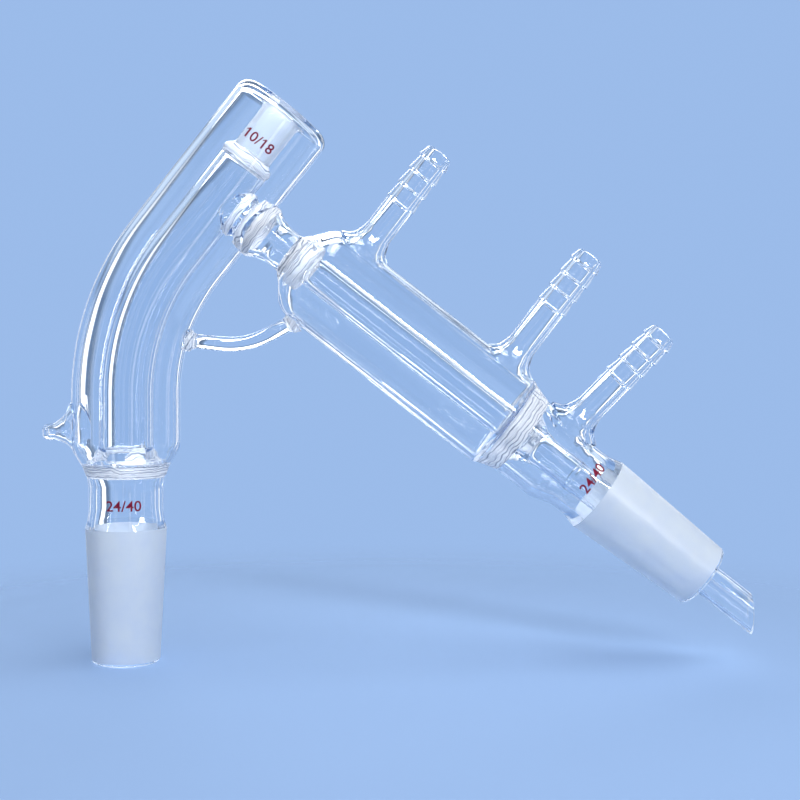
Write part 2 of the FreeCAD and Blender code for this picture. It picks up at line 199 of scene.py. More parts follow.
def worked(base, others, how):
    """Base with the other bars fused to it or cut out of it; the bars are used up."""
    body = as_object(base, "body") if isinstance(base, bmesh.types.BMesh) else base
    tools = [as_object(other, "tool") if isinstance(other, bmesh.types.BMesh) else other for other in others]
    for tool in tools:
        step = body.modifiers.new("step", "BOOLEAN")
        step.operation = how
        step.solver = "MANIFOLD"
        step.object = tool
    bpy.context.view_layer.update()
    mesh = bpy.data.meshes.new_from_object(body.evaluated_get(bpy.context.evaluated_depsgraph_get()))
    body.modifiers.clear()
    body.data = mesh
    for tool in tools:
        bpy.data.objects.remove(tool)
    return body


def column_outside():
    return up_the_column([
        (0, JOINT_NARROW - 1.9, 0), (0, JOINT_NARROW, 1.6),
        (JOINT_LENGTH, JOINT_WIDE, 0.5),
        (JOINT_LENGTH + 1.8, NECK, 2.0),
        (NECK_WAIST_FOOT, NECK_WAIST, 4.0),
        (NECK_WAIST_TOP, NECK_WAIST, 8.0),
        (SEAL_FOOT + 0.5, NECK, 0.6),
        *folds(SEAL_FOOT + 0.9, SEAL_TOP - 0.4, NECK + 0.35, NECK + RING_FLARE - 0.4, 4),
        (SEAL_TOP, NECK + RING_FLARE, 0.8),
        (JACKET_FOOT, COLUMN, 6.0),
        (BEND_FOOT, COLUMN, 0),
    ], COLUMN, [
        (0, COLUMN, 0),
        (HEAD_LENGTH, COLUMN, HEAD_ROUNDING),
        (HEAD_LENGTH, SOCKET_MOUTH + 1, 0),
    ])


def column_inside():
    radius = COLUMN - COLUMN_WALL
    return up_the_column([
        (SEAL_TOP + 0.75, NECK + RING_FLARE - COLUMN_WALL - 1.2, 0),
        (SEAL_TOP + 0.75, NECK + RING_FLARE - COLUMN_WALL, 0.5),
        (JACKET_FOOT + 0.75, radius, 5.0),
        (BEND_FOOT, radius, 0),
    ], radius, [
        (0, radius, 0),
        (HEAD_LENGTH - HEAD_RIM, radius, HEAD_ROUNDING - COLUMN_WALL),
        (HEAD_LENGTH - HEAD_RIM, SOCKET_MOUTH + 1, 0),
    ])


def riser_outside():
    socket = SOCKET_MOUTH + SOCKET_WALL
    rim = HEAD_LENGTH - HEAD_RIM
    return up_the_column([
        (SEAL_FOOT, NECK - 0.9, 0),
        (SEAL_TOP + COLUMN_WALL, NECK - 0.9, 1.2),
        (SEAL_TOP + COLUMN_WALL + 2.4, RISER + 0.1, 2.5),
        (SEAL_TOP + COLUMN_WALL + 5.0, RISER, 2.0),
        (BEND_FOOT, RISER, 0),
    ], RISER, [
        (0, RISER, 0),
        (SOCKET_FOOT - 3.0, RISER, 1.2),
        (SOCKET_FOOT - 2.2, RISER + 0.45, 0.8),
        (SOCKET_FOOT - 1.0, RISER + 0.1, 1.0),
        (SOCKET_FOOT + 0.6, socket, 1.6),
        (rim - 2.4, socket, 3.0),
        (rim, socket + 2.2, 0),
        (HEAD_LENGTH, socket + 2.2, 0),
    ])


def riser_bore():
    radius = RISER - RISER_WALL
    narrow = SOCKET_MOUTH - SOCKET_LENGTH * TAPER / 2
    return up_the_column([
        (-1, JOINT_NARROW - JOINT_WALL, 0),
        (0, JOINT_NARROW - JOINT_WALL, 0),
        (JOINT_LENGTH, NECK - NECK_WALL, 4.0),
        (NECK_WAIST_FOOT + 0.6, NECK_WAIST - NECK_WALL - 0.4, 8.0),
        (NECK_WAIST_TOP + 0.4, NECK_WAIST - NECK_WALL - 0.4, 8.0),
        (SEAL_FOOT + 0.9, NECK - NECK_WALL, 0.8),
        *folds(SEAL_FOOT + 1.7, SEAL_TOP - 0.8, NECK - NECK_WALL - 0.8, radius + 0.6, 2),
        (SEAL_TOP + 0.6, radius, 1.0),
        (BEND_FOOT, radius, 0),
    ], radius, [
        (0, radius, 0),
        (SOCKET_FOOT - 3.6, radius, 2.0),
        (SOCKET_FOOT - 0.4, narrow, 1.2),
        (HEAD_LENGTH, SOCKET_MOUTH, 0),
        (HEAD_LENGTH + 1, SOCKET_MOUTH, 0),
    ])


def pressed_round(shape, skin, height):
    """Presses the foot of a branch round the tube of radius skin that it stands on."""
    for vert in shape.verts:
        rise = min(1.0, max(0.0, (vert.co.z - skin) / height))
        hold = 1 - rise * rise * (3 - 2 * rise)
        vert.co.z -= hold * (skin - math.sqrt(skin ** 2 - min(abs(vert.co.y), skin) ** 2))


def nipple(loss):
    """Drawn-out tip with its end bulb; the loss shrinks it to the hollow inside."""
    droop = math.radians(7)
    line = frame_on(Vector((0, 0, SEAL_TOP + 12.4)), Vector((-math.cos(droop), 0, -math.sin(droop))))
    skin = COLUMN - loss
    shape = turned([
        (skin - 3.0, 8.2 - loss, 0),
        (skin - 0.4, 8.2 - loss, 0.4),
        (COLUMN + 1.6, 4.6 - loss, 4.0),
        (COLUMN + 5.2, 2.5 - loss, 5.0),
        (COLUMN + 7.4, 2.4 - loss, 1.6),
        (COLUMN + 8.9 - loss, 1.9 - loss, 1.5),
        (COLUMN + 8.9 - loss, 0.05, 0),
    ], Matrix.Identity(4))
    pressed_round(shape, skin, 5.0)
    shape.transform(line)
    return shape


def arm_outside():
    seal_foot = math.sqrt((COLUMN - COLUMN_WALL) ** 2 - ARM_SEAL ** 2)
    seal_head = COLUMN + 1.2
    return turned([
        (0, ARM + 1.3, 0),
        *folds(RISER - 1.0, RISER + 1.2, ARM + 1.3, ARM + 1.0, 2),
        (RISER + 2.4, ARM, 1.0),
        (seal_foot - 0.8, ARM, 0.8),
        *folds(seal_foot, COLUMN, ARM_SEAL - 0.7, ARM_SEAL, 4),
        (seal_head, ARM_SEAL - 0.1, 0.8),
        (seal_head + 2.2, ARM + 0.9, 2.5),
        (seal_head + 5.3, ARM - 0.1, 4.0),
        (WATER_START + CONDENSER_WALL, ARM, 0),
    ], CONDENSER_LINE)


def condenser_outside():
    return turned([
        (SHOULDER_START - 2.0, ARM - 0.6, 0),
        (SHOULDER_START - 0.6, ARM, 0.6),
        *folds(SHOULDER_START, SHOULDER_START + 1.8, ARM + 0.3, ARM + 2.2, 3),
        (JACKET_START, CONDENSER, 8.5),
        (JACKET_END - 0.8, CONDENSER, 1.6),
        (JACKET_END + 0.4, CONDENSER - 0.5, 0.6),
        *folds(JACKET_END + 1.0, ADAPTER_INSIDE, CONDENSER - 0.9, ADAPTER - 0.1, 6),
        (ADAPTER_INSIDE + 1.8, ADAPTER, 2.0),
        (ADAPTER_TURN, ADAPTER, 6.0),
        (WAIST_START, WAIST, 5.0),
        (RECEIVER_START - 4.0, WAIST + 0.1, 5.0),
        (RECEIVER_START, JOINT_WIDE, 0.5),
        (RECEIVER_END, JOINT_NARROW, 1.6),
        (RECEIVER_END, JOINT_NARROW - 1.9, 0),
    ], CONDENSER_LINE)


def water_inside():
    radius = CONDENSER - CONDENSER_WALL
    return turned([
        (WATER_START, COLLAR - 0.1, 0),
        (JACKET_START + 1.5, radius, 7.0),
        (JACKET_END - 0.8, radius, 1.6),
        (JACKET_END, radius - 1.2, 0),
    ], CONDENSER_LINE)


def adapter_inside():
    radius = ADAPTER - ADAPTER_WALL
    waist = WAIST - ADAPTER_WALL
    return turned([
        (ADAPTER_INSIDE, radius - 1.2, 0),
        (ADAPTER_INSIDE, radius, 0.8),
        (ADAPTER_TURN - 0.6, radius, 6.0),
        (WAIST_START - 0.4, waist, 5.0),
        (RECEIVER_START, waist + 0.1, 6.0),
        (RECEIVER_END, JOINT_NARROW - JOINT_WALL, 0),
        (RECEIVER_END + 1, JOINT_NARROW - JOINT_WALL, 0),
    ], CONDENSER_LINE)


def core_outside():
    return turned([
        (SHOULDER_START, ARM - 0.8, 0),
        (WATER_START - 0.6, COLLAR - 0.2, 0),
        *folds(WATER_START, COLLAR_END - 0.4, COLLAR - 0.1, COLLAR - 0.1, 3),
        (COLLAR_END, COLLAR - 0.8, 0.3),
        (COLLAR_END + 0.1, CORE + 0.6, 0.3),
        (COLLAR_END + 0.8, CORE, 0.5),
        (JACKET_END - 0.4, CORE, 0.4),
        (JACKET_END + 0.6, CORE + 4.6, 0),
        (ADAPTER_INSIDE - 0.6, CORE + 4.6, 0),
        (ADAPTER_INSIDE + 1.2, CORE + 3.7, 1.5),
        (ADAPTER_INSIDE + 5.0, CORE + 1.0, 5.0),
        (ADAPTER_INSIDE + 9.0, CORE, 6.0),
        (CORE_WELD - 0.5, CORE, 0.5), (CORE_WELD, CORE + 0.22, 0.5), (CORE_WELD + 0.5, CORE, 0.5),
        (DRIP_END + 10, CORE, 0),
    ], CONDENSER_LINE)


def core_bore():
    radius = CORE - CORE_WALL
    return turned([
        (0, ARM - ARM_WALL, 0),
        (COLUMN - 5.5, ARM - ARM_WALL, 2.0),
        (COLUMN - 2.0, ARM_SEAL - 2.1, 1.5),
        (COLUMN + 0.6, ARM_SEAL - 2.1, 1.5),
        (COLUMN + 4.0, ARM - ARM_WALL, 2.0),
        (SHOULDER_START + 0.4, ARM - ARM_WALL, 1.0),
        *folds(SHOULDER_START + 1.2, COLLAR_END - 0.8, ARM - ARM_WALL - 0.1, radius + 0.1, 5),
        (COLLAR_END, radius, 1.0),
        (JACKET_END - 1.6, radius, 1.0),
        *folds(JACKET_END, ADAPTER_INSIDE - 0.4, radius + 0.3, radius + 0.6, 5),
        (ADAPTER_INSIDE + 3.0, radius, 2.0),
        (DRIP_END + 10, radius, 0),
    ], CONDENSER_LINE)


def barb_line(station, tilt):
    angle = LEAN + tilt
    return frame_on(ARM_ROOT + ARM_AXIS * station, Vector((math.sin(angle), 0, math.cos(angle))))


def barb_outside(skin, end, line):
    """Hose connection; its flared foot is pressed round the jacket that it stands on."""
    foot = SHANK + BARB_FLARE
    corners = [(skin - 1.6, foot, 0), (skin - 0.25, foot, 0)]
    corners += [(skin + BARB_RISE * 0.28, SHANK + BARB_FLARE * 0.3, 3.6), (skin + BARB_RISE, SHANK, 8.0)]
    valley = SHANK
    for crest in reversed(range(CRESTS)):
        step = end - TIP_LENGTH - crest * CREST_PITCH
        corners += [(step - 0.25, valley, 0.3), (step + 0.15, CREST, 0.32)]
        valley = VALLEY
    corners += [(end, TIP, 1.0), (end, HOSE_BORE - 0.5, 0)]
    shape = turned(corners, Matrix.Identity(4))
    pressed_round(shape, skin, BARB_RISE)
    shape.transform(line)
    return shape


def barb_bore(skin, wall, end, line):
    """Bore of a hose connection, belled out at its foot so that the wall stays even."""
    inner = skin - wall
    shape = turned([
        (inner - 2.0, HOSE_BORE + BARB_FLARE * 0.95, 0),
        (inner - 0.1, HOSE_BORE + BARB_FLARE * 0.95, 0),
        (inner + BARB_RISE * 0.30, HOSE_BORE + BARB_FLARE * 0.28, 3.6),
        (inner + BARB_RISE, HOSE_BORE + 0.1, 8.0),
        (end - 14, HOSE_BORE, 0),
        (end + 1, HOSE_BORE, 0),
    ], Matrix.Identity(4))
    pressed_round(shape, inner, BARB_RISE)
    shape.transform(line)
    return shape


BRACE_HEIGHT, BRACE_DIP, BRACE_RISE, BRACE_BEND = 16.3, math.radians(6), math.radians(27), 24.0
BRACE_ROD, BRACE_SUNK, BRACE_STATION = 2.2, 0.75, 6.3
BRACE_EDGE = BEND - math.sqrt((BEND - COLUMN) ** 2 - BRACE_HEIGHT ** 2)
BRACE_ENDS = (
    Vector((BRACE_EDGE - BRACE_SUNK, 0, BEND_FOOT + BRACE_HEIGHT)),
    ARM_ROOT + ARM_AXIS * (JACKET_START + BRACE_STATION) - HEAD_AXIS * (CONDENSER - BRACE_SUNK),
)


def brace():
    """Solid rod that dips from the column and climbs to the condenser, with a pad at each end."""
    start, end = BRACE_ENDS
    dip, rise, bend = BRACE_DIP, BRACE_RISE, BRACE_BEND
    run = (start.z - end.z + (end.x - start.x) * math.tan(rise)) / (math.tan(rise) + math.tan(dip))
    corner = start + Vector((run, 0, -run * math.tan(dip)))
    falling, climbing = (corner - start).normalized(), (end - corner).normalized()
    first = corner - falling * (bend * math.tan((rise + dip) / 2))
    pad = ((0, 3.4), (1.7, 3.2), (2.2, 2.6), (3.2, 2.1))
    stations = [(frame_on(start + falling * reached, falling), radius) for reached, radius in pad]
    upward = Vector((-falling.z, 0, falling.x))
    centre = first + upward * bend
    for step in range(13):
        angle = (rise + dip) * step / 12
        axis = falling * math.cos(angle) + upward * math.sin(angle)
        place = centre - upward * bend * math.cos(angle) + falling * bend * math.sin(angle)
        stations.append((frame_on(place, axis), BRACE_ROD))
    pad = ((3.4, 2.1), (2.4, 2.6), (1.8, 3.2), (0, 3.6))
    stations += [(frame_on(end - climbing * left, climbing), radius) for left, radius in pad]
    return drawn(stations, 48)


def tip_trimmer():
    """Block whose upright face cuts the drip tube."""
    block = bmesh.new()
    middle = ARM_ROOT + ARM_AXIS * DRIP_END
    bmesh.ops.create_cube(block, size=30, matrix=Matrix.Translation(middle + Vector((15, 0, 0))))
    return block


def blown_glass():
    """The whole head as one fused skin, hollowed by its jacket, water, vacuum and vapour spaces."""
    water_out, water_in = barb_line(WATER_OUT, 0), barb_line(WATER_IN, 0)
    vacuum = barb_line(VACUUM, VACUUM_TILT)
    skin = worked(column_outside(), [
        nipple(0), arm_outside(), condenser_outside(),
        barb_outside(CONDENSER, WATER_OUT_END, water_out),
        barb_outside(CONDENSER, WATER_IN_END, water_in),
        barb_outside(ADAPTER, VACUUM_END, vacuum),
        brace(), core_outside(),
    ], "UNION")
    jacket_space = worked(column_inside(), [nipple(1.1)], "UNION")
    jacket_space = worked(jacket_space, [riser_outside(), arm_outside()], "DIFFERENCE")
    water_space = worked(water_inside(), [
        barb_bore(CONDENSER, CONDENSER_WALL, WATER_OUT_END, water_out),
        barb_bore(CONDENSER, CONDENSER_WALL, WATER_IN_END, water_in),
    ], "UNION")
    water_space = worked(water_space, [core_outside()], "DIFFERENCE")
    vacuum_space = worked(adapter_inside(), [barb_bore(ADAPTER, ADAPTER_WALL, VACUUM_END, vacuum)], "UNION")
    vacuum_space = worked(vacuum_space, [core_outside()], "DIFFERENCE")
    passage = worked(riser_bore(), [core_bore()], "UNION")
    return worked(skin, [jacket_space, water_space, vacuum_space, passage, tip_trimmer()], "DIFFERENCE")


def fire_polish(piece):
    """Melts the two edges of the drip tube's cut end."""
    shape = bmesh.new()
    shape.from_mesh(piece.data)
    cut = (ARM_ROOT + ARM_AXIS * DRIP_END).x
    end = [face for face in shape.faces if all(abs(vert.co.x - cut) < 0.001 for vert in face.verts)]
    edges = [
        edge for face in end for edge in face.edges
        if sum(other in end for other in edge.link_faces) == 1]
    bmesh.ops.bevel(
        shape, geom=edges, offset=0.35, offset_type="OFFSET", segments=4, profile=0.5,
        affect="EDGES", material=-1, clamp_overlap=True)
    shape.to_mesh(piece.data)
    shape.free()
    return piece


def finish_mesh(piece, name, sharp=38):
    """Scales a piece from millimetres to metres and smooths all but its real edges."""
    piece.name = piece.data.name = name
    piece.data.transform(Matrix.Scale(MM, 4))
    piece.data.polygons.foreach_set("use_smooth", [True] * len(piece.data.polygons))
    piece.data.set_sharp_from_angle(angle=math.radians(sharp))
    return piece


# Materials

def new_material(name):
    material = bpy.data.materials.new(name)
    material.use_nodes = True
    tree = material.node_tree
    tree.nodes.clear()
    return material, tree


def wired(tree, kind, links=(), **settings):
    """A node with its settings and its inputs, each a number, a vector or another node's output."""
    made = tree.nodes.new(kind)
    for key, value in settings.items():
        setattr(made, key, value)
    for key, value in dict(links).items():
        if isinstance(value, bpy.types.NodeSocket):
            tree.links.new(value, made.inputs[key])
        else:
            made.inputs[key].default_value = value
    return made


def calculated(tree, operation, first, second=0.0):
    return wired(tree, "ShaderNodeMath", {0: first, 1: second}, operation=operation).outputs[0]


GLASS_IOR = 1.473
# A ray that has bounced more than this inside the glass goes straight on, with the freed colour
MOST_BOUNCES = 2.5
FREED = (0.62, 0.71, 0.83, 1)


def glass_material(name, roughness=0.0, transmission=1.0, colour=(1, 1, 1), shadow=0.9):
    """Borosilicate: bends light, lets the lamps through, and frees the rays that it has trapped."""
    material, tree = new_material(name)
    surface = wired(tree, "ShaderNodeBsdfPrincipled", {
        "Base Color": (*colour, 1), "Roughness": roughness,
        "IOR": GLASS_IOR, "Transmission Weight": transmission})
    path = wired(tree, "ShaderNodeLightPath")
    lamp = path.outputs["Is Shadow Ray"]
    trapped = calculated(tree, "GREATER_THAN", path.outputs["Glossy Depth"], MOST_BOUNCES)
    tint = wired(tree, "ShaderNodeMix", {0: lamp, 6: FREED, 7: (shadow, shadow, shadow, 1)}, data_type="RGBA")
    clear = wired(tree, "ShaderNodeBsdfTransparent", {"Color": tint.outputs[2]})
    mix = wired(tree, "ShaderNodeMixShader", {
        0: calculated(tree, "MAXIMUM", lamp, trapped), 1: surface.outputs[0], 2: clear.outputs[0]})
    wired(tree, "ShaderNodeOutputMaterial", {"Surface": mix.outputs[0]})
    return material, tree, surface


def roughened(tree, surface, height, strength, distance):
    """Gives a surface the bumps of a height."""
    bump = wired(tree, "ShaderNodeBump", {"Height": height, "Strength": strength, "Distance": distance})
    tree.links.new(bump.outputs["Normal"], surface.inputs["Normal"])


def noise(tree, place, scale, detail):
    return wired(tree, "ShaderNodeTexNoise", {"Vector": place, "Scale": scale, "Detail": detail}).outputs["Fac"]


def object_place(tree):
    return wired(tree, "ShaderNodeTexCoord").outputs["Object"]


def clear_glass_material():
    """Clear drawn tube, with the faint waviness of its drawing."""
    material, tree, surface = glass_material("clear_borosilicate", colour=(0.97, 0.985, 1.0))
    roughened(tree, surface, noise(tree, object_place(tree), 55.0, 1.0), 0.2, 0.8 * MM)
    return material


THREAD_WANDER = 0.0035
# Where a thread begins and ends in its noise, and its colour there: a painted dark reflection on the dark
# threads, a painted highlight on the bright ones
THREAD_PAINTED_GLINT_AND_DARK = ((0.37, (0.20, 0.24, 0.31, 1)), (0.47, (0.82, 0.85, 0.90, 1)))


def shaded(tree, height, shades):
    """Colour ramp over a height, from (position, colour) pairs."""
    ramp = wired(tree, "ShaderNodeValToRGB", {"Fac": height})
    for index, (position, colour) in enumerate(shades):
        elements = ramp.color_ramp.elements
        element = elements[index] if index < 2 else elements.new(position)
        element.position, element.color = position, colour
    return ramp.outputs["Color"]


def thread_group():
    """Threads of a hand-made seal: fine rings across its axis that wander on their way round."""
    group = bpy.data.node_groups.new("seal_threads", "ShaderNodeTree")
    group.interface.new_socket("Place", in_out="INPUT", socket_type="NodeSocketVector")
    group.interface.new_socket("Along", in_out="INPUT", socket_type="NodeSocketFloat")
    group.interface.new_socket("Threads", in_out="OUTPUT", socket_type="NodeSocketFloat")
    inputs = wired(group, "NodeGroupInput")
    outputs = wired(group, "NodeGroupOutput")
    wander = calculated(group, "MULTIPLY", noise(group, inputs.outputs["Place"], 170.0, 2.0), THREAD_WANDER)
    shifted = calculated(group, "ADD", wander, inputs.outputs["Along"])
    thread = wired(
        group, "ShaderNodeTexNoise", {"W": shifted, "Scale": 2400.0, "Detail": 2.0}, noise_dimensions="1D")
    group.links.new(thread.outputs["Fac"], outputs.inputs["Threads"])
    return group


def seal_glass_material():
    """Worked glass of the ring seals, with its threads in the base colour: the dark threads carry a painted
    dark reflection, the bright threads a painted highlight.
    """
    material, tree, surface = glass_material("seal_glass", 0.2, 0.4, shadow=0.8)
    place = object_place(tree)
    parts = wired(tree, "ShaderNodeSeparateXYZ", {0: place})

    def along(origin, axis):
        """How far a place is from the origin along the axis."""
        dot = wired(tree, "ShaderNodeVectorMath", {0: place, 1: tuple(axis)}, operation="DOT_PRODUCT")
        return calculated(tree, "ADD", dot.outputs["Value"], -origin.dot(axis) * MM)

    def chosen(switch, first, second):
        """The second value where the switch is 1, else the first."""
        gain = calculated(tree, "MULTIPLY", switch, calculated(tree, "SUBTRACT", second, first))
        return calculated(tree, "ADD", first, gain)

    up_head = along(HEAD_FOOT, HEAD_AXIS)
    at_foot = calculated(tree, "LESS_THAN", parts.outputs["X"], 16 * MM)
    at_socket = calculated(tree, "GREATER_THAN", up_head, (SOCKET_FOOT - 5) * MM)
    line = chosen(at_socket, chosen(at_foot, along(ARM_ROOT, ARM_AXIS), parts.outputs["Z"]), up_head)
    threads = wired(tree, "ShaderNodeGroup", {"Place": place, "Along": line}, node_tree=thread_group())
    # Base colour of the seals: the real pattern of the threads, with a painted highlight on the bright threads
    # and a painted dark reflection on the dark ones
    tree.links.new(shaded(tree, threads.outputs["Threads"], THREAD_PAINTED_GLINT_AND_DARK), surface.inputs["Base Color"])
    roughened(tree, surface, threads.outputs["Threads"], 0.8, 0.4 * MM)
    return material


def ground_glass_material():
    """Ground taper: a fine even grit over glass, paler where the cone has been lapped."""
    material, tree, surface = glass_material("ground_glass", 0.34, 0.32, shadow=0.75)
    place = object_place(tree)
    patches = noise(tree, place, 160.0, 4.0)
    paleness = wired(tree, "ShaderNodeMapRange", {"Value": patches, "To Min": 0.52, "To Max": 0.66})
    red = paleness.outputs["Result"]
    green = calculated(tree, "ADD", calculated(tree, "MULTIPLY", red, 0.8), 0.19)
    colour = wired(tree, "ShaderNodeCombineColor", {"Red": red, "Green": green, "Blue": 0.76})
    tree.links.new(colour.outputs["Color"], surface.inputs["Base Color"])
    roughened(tree, surface, noise(tree, place, 4200.0, 2.0), 0.35, 0.1 * MM)
    return material


THICK_INK, THIN_INK = (0.14, 0.001, 0.018, 1), (0.22, 0.004, 0.035, 1)


def red_enamel_material():
    """Fired red marking ink, slightly thin in places."""
    material, tree = new_material("red_enamel")
    thin = noise(tree, object_place(tree), 2600.0, 3.0)
    ink = wired(tree, "ShaderNodeMixRGB", {"Fac": thin, "Color1": THICK_INK, "Color2": THIN_INK})
    surface = wired(tree, "ShaderNodeBsdfPrincipled", {
        "Base Color": ink.outputs["Color"], "Roughness": 0.65, "Specular IOR Level": 0.2})
    wired(tree, "ShaderNodeOutputMaterial", {"Surface": surface.outputs[0]})
    return material


red_enamel = red_enamel_material()

head = finish_mesh(fire_polish(blown_glass()), "blown_head")
head.data.materials.clear()
for material in (clear_glass_material(), ground_glass_material(), seal_glass_material()):
    head.data.materials.append(material)


GROUND_LOOK, SEAL_LOOK = 1, 2


def ground_zone(point):
    """True outside on the two ground cones, inside the thermometer socket and on the drip tube's cut end."""
    if 0.9 < point.z < JOINT_LENGTH and abs(point.x) < JOINT_WIDE + 1:
        return math.hypot(point.x, point.y) > JOINT_NARROW - 0.9 + point.z * TAPER / 2
    if point.x > (ARM_ROOT + ARM_AXIS * DRIP_END).x - 0.3:
        return True
    on_cone = CONDENSER_LINE.inverted() @ point
    if RECEIVER_START < on_cone.z < RECEIVER_END - 0.9:
        edge = JOINT_WIDE - (on_cone.z - RECEIVER_START) * TAPER / 2
        return abs(math.hypot(on_cone.x, on_cone.y) - edge) < 0.5
    in_socket = HEAD.inverted() @ point
    if SOCKET_FOOT + 0.4 < in_socket.z < HEAD_LENGTH:
        return math.hypot(in_socket.x, in_socket.y) < SOCKET_MOUTH + 0.3
    return False


def seal_zone(point):
    """True on the worked rings and pads where one tube is sealed to another."""
    width = math.hypot(point.x, point.y)
    if width < COLUMN and SEAL_FOOT + 0.7 < point.z < SEAL_TOP + 0.4:
        return True
    peak = 0.8 * min(point.x + 1, 30 - 4 * point.x)
    if width < NECK and SEAL_TOP < point.z < SEAL_TOP + 1.4 + peak:
        return True
    on_arm = CONDENSER_LINE.inverted() @ point
    reach = math.hypot(on_arm.x, on_arm.y)
    if JACKET_END + 0.2 < on_arm.z < ADAPTER_INSIDE + 0.5:
        return True
    if SHOULDER_START < on_arm.z < COLLAR_END + 0.9 and reach < COLLAR + 1.2:
        return True
    if RISER - 2 < on_arm.z < COLUMN + 1.5 and ARM + 0.1 < reach < ARM_SEAL + 0.2:
        return True
    up_head = HEAD.inverted() @ point
    if SOCKET_FOOT - 3.3 < up_head.z < SOCKET_FOOT + 0.3 and math.hypot(up_head.x, up_head.y) < RISER + 0.8:
        return True
    return min((point - end).length for end in BRACE_ENDS) < 3.7


corners = [vert.co / MM for vert in head.data.vertices]
sealed = [seal_zone(corner) for corner in corners]
for face in head.data.polygons:
    if ground_zone(face.center / MM):
        face.material_index = GROUND_LOOK
    elif all(sealed[index] for index in face.vertices):
        face.material_index = SEAL_LOOK

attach(head, "root")
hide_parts("glass_head")

# Joint sizes in red enamel, wrapped on the glass

# In the text's own units: how wide a bare stroke is at most, and the size of its flag
BARE_STROKE = 0.13
FLAG = (0.24, 0.07, 0.018)
INK_DEPTH = 0.03


def flagged(shape):
    """Gives each figure one of a flat text, which the font draws as a bare stroke, its short flag."""
    left = set(shape.verts)
    strokes = []
    while left:
        stroke, rim = set(), [left.pop()]
        while rim:
            vert = rim.pop()
            stroke.add(vert)
            rim += [other for other in (edge.other_vert(vert) for edge in vert.link_edges) if other in left]
            left -= set(rim)
        strokes.append(stroke)
    for stroke in strokes:
        low, high = min(vert.co.x for vert in stroke), max(vert.co.x for vert in stroke)
        top = max(vert.co.y for vert in stroke)
        if high - low < BARE_STROKE:
            flag = Matrix.Translation((low - 0.05, top - 0.11, 0)) @ Matrix.Rotation(math.radians(40), 4, "Z")
            bmesh.ops.create_cube(shape, matrix=flag @ Matrix.Diagonal((*FLAG, 1)))


def printed(name, words, line, radius, station, middle, way=1, width=10.0, height=3.1):
    """Sizes printed round a tube: middle is how far the words' centre stands across the tube."""
    text = bpy.data.curves.new(name, "FONT")
    text.body = words
    text.align_x = text.align_y = "CENTER"
    text.offset = 0.008
    text.extrude = 0.01
    text.resolution_u = 4
    holder = bpy.data.objects.new(name, text)
    bpy.context.scene.collection.objects.link(holder)
    bpy.context.view_layer.update()
    mesh = bpy.data.meshes.new_from_object(holder.evaluated_get(bpy.context.evaluated_depsgraph_get()))
    bpy.data.objects.remove(holder)
    shape = bmesh.new()
    shape.from_mesh(mesh)
    bmesh.ops.remove_doubles(shape, verts=shape.verts, dist=0.0004)
    flagged(shape)
    low = Vector(min(vert.co[axis] for vert in shape.verts) for axis in range(3))
    high = Vector(max(vert.co[axis] for vert in shape.verts) for axis in range(3))
    for vert in shape.verts:
        flat = vert.co - (low + high) / 2
        run = flat.x / (high.x - low.x) * width * way
        rise = flat.y / (high.y - low.y) * height * way
        lift = radius + (INK_DEPTH if flat.z > 0 else -INK_DEPTH)
        angle = math.asin(middle / radius) + run / radius
        across = Vector((math.sin(angle) * lift, -math.cos(angle) * lift))
        vert.co = line @ Vector((across.x, across.y, station + rise))
    piece = as_object(shape, name)
    finish_mesh(piece, name)
    piece.data.materials.clear()
    piece.data.materials.append(red_enamel)
    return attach(piece, "root")


printed("pot_joint_size", "24/40", GROUND, NECK_WAIST, 47.3, 1.3, width=10.4)
printed("socket_size", "10/18", HEAD, COLUMN, 40.8, 1.8, width=9.9)
printed("receiver_joint_size", "24/40", CONDENSER_LINE, WAIST + 0.16, 138.0, -2.9, -1)

# Stage: pale floor that fades into the pale background

PALE = (0.33, 0.50, 0.82)
DUSK = tuple(part * 0.5 for part in PALE)
PANEL = (0.66, 0.82, 1.05)
STRIP = (1.9, 1.9, 1.9, 1)
FLOOR = tuple(part * 0.75 for part in PALE)
FLOOR_RADIUS, FADE_START, FADE_END = 0.9, 0.11, 0.28


def pale_floor():
    """Disc that goes clear past the object's surroundings, so that no edge of it shows."""
    shape = bmesh.new()
    bmesh.ops.create_circle(shape, cap_ends=True, segments=128, radius=FLOOR_RADIUS)
    floor = as_object(shape, "floor")
    floor.location = (0.08, 0, -0.0001)
    material, tree = new_material("pale_floor")
    surface = wired(tree, "ShaderNodeBsdfPrincipled", {
        "Base Color": (*FLOOR, 1), "Roughness": 0.9, "Specular IOR Level": 0.1})
    spread = wired(tree, "ShaderNodeVectorMath", {0: object_place(tree)}, operation="LENGTH")
    fade = wired(tree, "ShaderNodeMapRange", {
        "Value": spread.outputs["Value"], "From Min": FADE_START, "From Max": FADE_END,
    }, interpolation_type="SMOOTHERSTEP")
    nothing = wired(tree, "ShaderNodeBsdfTransparent")
    mix = wired(tree, "ShaderNodeMixShader", {
        0: fade.outputs["Result"], 1: surface.outputs[0], 2: nothing.outputs[0]})
    wired(tree, "ShaderNodeOutputMaterial", {"Surface": mix.outputs[0]})
    floor.data.materials.append(material)
    return floor


floor = pale_floor()


